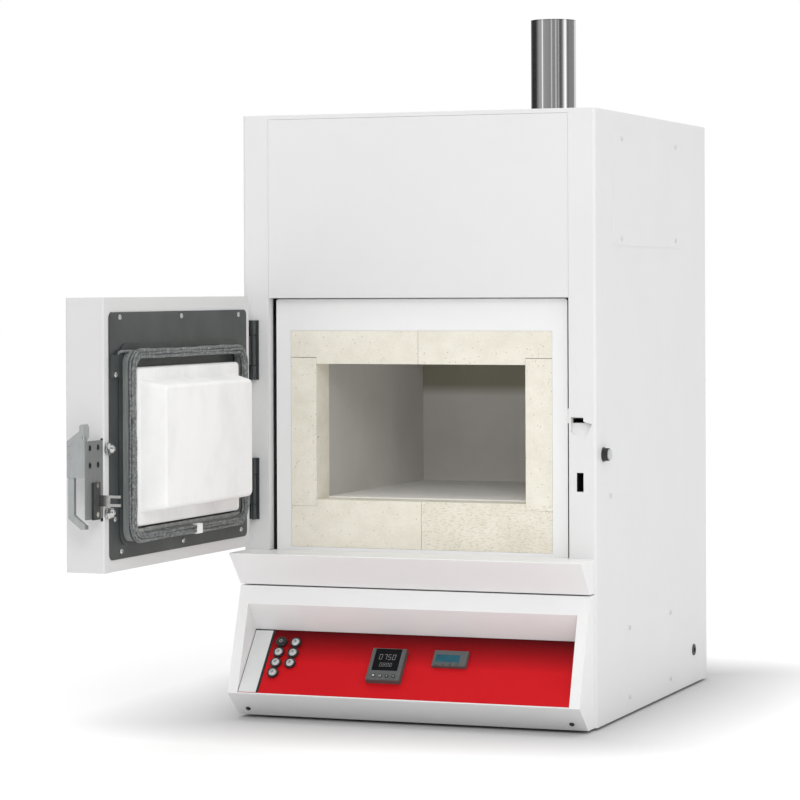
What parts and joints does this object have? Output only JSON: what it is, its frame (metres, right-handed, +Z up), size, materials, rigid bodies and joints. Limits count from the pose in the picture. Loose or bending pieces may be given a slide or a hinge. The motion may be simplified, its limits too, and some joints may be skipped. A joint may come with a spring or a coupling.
{
  "type": "bench ashing furnace",
  "caption": "Bench chamber furnace with a side-hinged plug door standing open, brick-lined chamber, sloping red control panel and rear chimney.",
  "frame": {"origin": "centre of the case's footprint, on the bench under the feet", "axes": "+X to the user's right, +Y to the back, +Z up; the door's mouth and the controls face -Y"},
  "size_m": [0.5568, 1.1643, 0.9926],
  "materials": {
    "white_paint": "satin powder coat",
    "red_paint": "satin",
    "pale_label": "satin",
    "dark_plastic": "satin",
    "grey_bezel": "satin",
    "display_glass": "gloss",
    "brick": "matt, speckled",
    "lining": "matt",
    "fibre_board": "matt",
    "plug_board": "matt",
    "bare_steel": "galvanised",
    "stainless": "brushed along its length",
    "element_alloy": "oxidised",
    "plated_screw": "bright",
    "dark_steel": "satin",
    "grey_steel": "satin",
    "plated_steel": "satin",
    "chrome_nut": "polished",
    "rope": "braided",
    "pale_button": "satin",
    "foot_rubber": "matt"
  },
  "bodies": {
    "cabinet": {"base_tray": "white_paint", "side_panel_left": "white_paint", "side_panel_right": "white_paint", "top_cover": "white_paint", "rear_panel": "white_paint", "top_front_panel": "white_paint", "front_frame": "white_paint", "shelf": "white_paint", "control_housing": "white_paint", "access_cover": "white_paint", "facia": "red_paint", "label_strip": "pale_label", "button_rings": "dark_plastic", "temperature_controller": "grey_bezel", "overtemp_controller": "grey_bezel", "controller_windows": "display_glass", "front_bricks": "brick", "chamber_lining": "lining", "insulation": "fibre_board", "inner_case": "bare_steel", "heating_elements": "element_alloy", "thermocouple": "lining", "flue_duct": "stainless", "chimney": "stainless", "contactor": "dark_plastic", "interlock_switch": "dark_plastic", "side_grommet": "dark_plastic", "side_button_body": "dark_plastic", "casing_screws": "plated_screw", "feet": "foot_rubber", "frame_hinges": "dark_steel"},
    "door": {"door_shell": "white_paint", "door_back_plate": "dark_steel", "door_insulation": "fibre_board", "seal_collar": "grey_steel", "rope_seal": "rope", "seal_clip": "pale_label", "door_plug": "plug_board", "latch_bracket": "plated_steel", "handle_arm": "plated_steel", "interlock_key": "dark_plastic", "door_screws": "plated_screw", "dome_nuts": "chrome_nut", "door_hinges": "dark_steel"},
    "power_button": {"power_button": "dark_plastic"},
    "reset_button_1": {"reset_button_1": "pale_button"},
    "reset_button_2": {"reset_button_2": "pale_button"},
    "reset_button_3": {"reset_button_3": "pale_button"},
    "reset_button_4": {"reset_button_4": "pale_button"},
    "reset_button_5": {"reset_button_5": "pale_button"},
    "reset_button_6": {"reset_button_6": "pale_button"},
    "temperature_key_1": {"temperature_key_1": "grey_bezel"},
    "temperature_key_2": {"temperature_key_2": "grey_bezel"},
    "temperature_key_3": {"temperature_key_3": "grey_bezel"},
    "temperature_key_4": {"temperature_key_4": "grey_bezel"},
    "overtemp_key_1": {"overtemp_key_1": "dark_plastic"},
    "overtemp_key_2": {"overtemp_key_2": "dark_plastic"},
    "overtemp_key_3": {"overtemp_key_3": "dark_plastic"},
    "overtemp_key_4": {"overtemp_key_4": "dark_plastic"},
    "side_button": {"side_button": "pale_button"}
  },
  "joints": [
    {"name": "door_hinge", "type": "hinge", "parent": "cabinet", "child": "door", "pos_m": [-0.234, -0.29, 0.4], "axis": [0, 0, 1], "range_deg": [-25, 91.2]},
    {"name": "power_press", "type": "slide", "parent": "cabinet", "child": "power_button", "axis": [0, 0.7683, -0.6401], "range_m": [0, 0.003], "stiffness_N_per_m": 300},
    {"name": "reset_press_1", "type": "slide", "parent": "cabinet", "child": "reset_button_1", "axis": [0, 0.7683, -0.6401], "range_m": [-0.0025, 0.001], "stiffness_N_per_m": 300},
    {"name": "reset_press_2", "type": "slide", "parent": "cabinet", "child": "reset_button_2", "axis": [0, 0.7683, -0.6401], "range_m": [-0.0025, 0.001], "stiffness_N_per_m": 300},
    {"name": "reset_press_3", "type": "slide", "parent": "cabinet", "child": "reset_button_3", "axis": [0, 0.7683, -0.6401], "range_m": [-0.0025, 0.001], "stiffness_N_per_m": 300},
    {"name": "reset_press_4", "type": "slide", "parent": "cabinet", "child": "reset_button_4", "axis": [0, 0.7683, -0.6401], "range_m": [-0.0025, 0.001], "stiffness_N_per_m": 300},
    {"name": "reset_press_5", "type": "slide", "parent": "cabinet", "child": "reset_button_5", "axis": [0, 0.7683, -0.6401], "range_m": [-0.0025, 0.001], "stiffness_N_per_m": 300},
    {"name": "reset_press_6", "type": "slide", "parent": "cabinet", "child": "reset_button_6", "axis": [0, 0.7683, -0.6401], "range_m": [-0.0025, 0.001], "stiffness_N_per_m": 300},
    {"name": "temperature_key_press_1", "type": "slide", "parent": "cabinet", "child": "temperature_key_1", "axis": [0, 0.7683, -0.6401], "range_m": [0, 0.0008], "stiffness_N_per_m": 300},
    {"name": "temperature_key_press_2", "type": "slide", "parent": "cabinet", "child": "temperature_key_2", "axis": [0, 0.7683, -0.6401], "range_m": [0, 0.0008], "stiffness_N_per_m": 300},
    {"name": "temperature_key_press_3", "type": "slide", "parent": "cabinet", "child": "temperature_key_3", "axis": [0, 0.7683, -0.6401], "range_m": [0, 0.0008], "stiffness_N_per_m": 300},
    {"name": "temperature_key_press_4", "type": "slide", "parent": "cabinet", "child": "temperature_key_4", "axis": [0, 0.7683, -0.6401], "range_m": [0, 0.0008], "stiffness_N_per_m": 300},
    {"name": "overtemp_key_press_1", "type": "slide", "parent": "cabinet", "child": "overtemp_key_1", "axis": [0, 0.7683, -0.6401], "range_m": [0, 0.0006], "stiffness_N_per_m": 300},
    {"name": "overtemp_key_press_2", "type": "slide", "parent": "cabinet", "child": "overtemp_key_2", "axis": [0, 0.7683, -0.6401], "range_m": [0, 0.0006], "stiffness_N_per_m": 300},
    {"name": "overtemp_key_press_3", "type": "slide", "parent": "cabinet", "child": "overtemp_key_3", "axis": [0, 0.7683, -0.6401], "range_m": [0, 0.0006], "stiffness_N_per_m": 300},
    {"name": "overtemp_key_press_4", "type": "slide", "parent": "cabinet", "child": "overtemp_key_4", "axis": [0, 0.7683, -0.6401], "range_m": [0, 0.0006], "stiffness_N_per_m": 300},
    {"name": "side_press", "type": "slide", "parent": "cabinet", "child": "side_button", "axis": [-1, 0, 0], "range_m": [0, 0.002], "stiffness_N_per_m": 300}
  ]
}
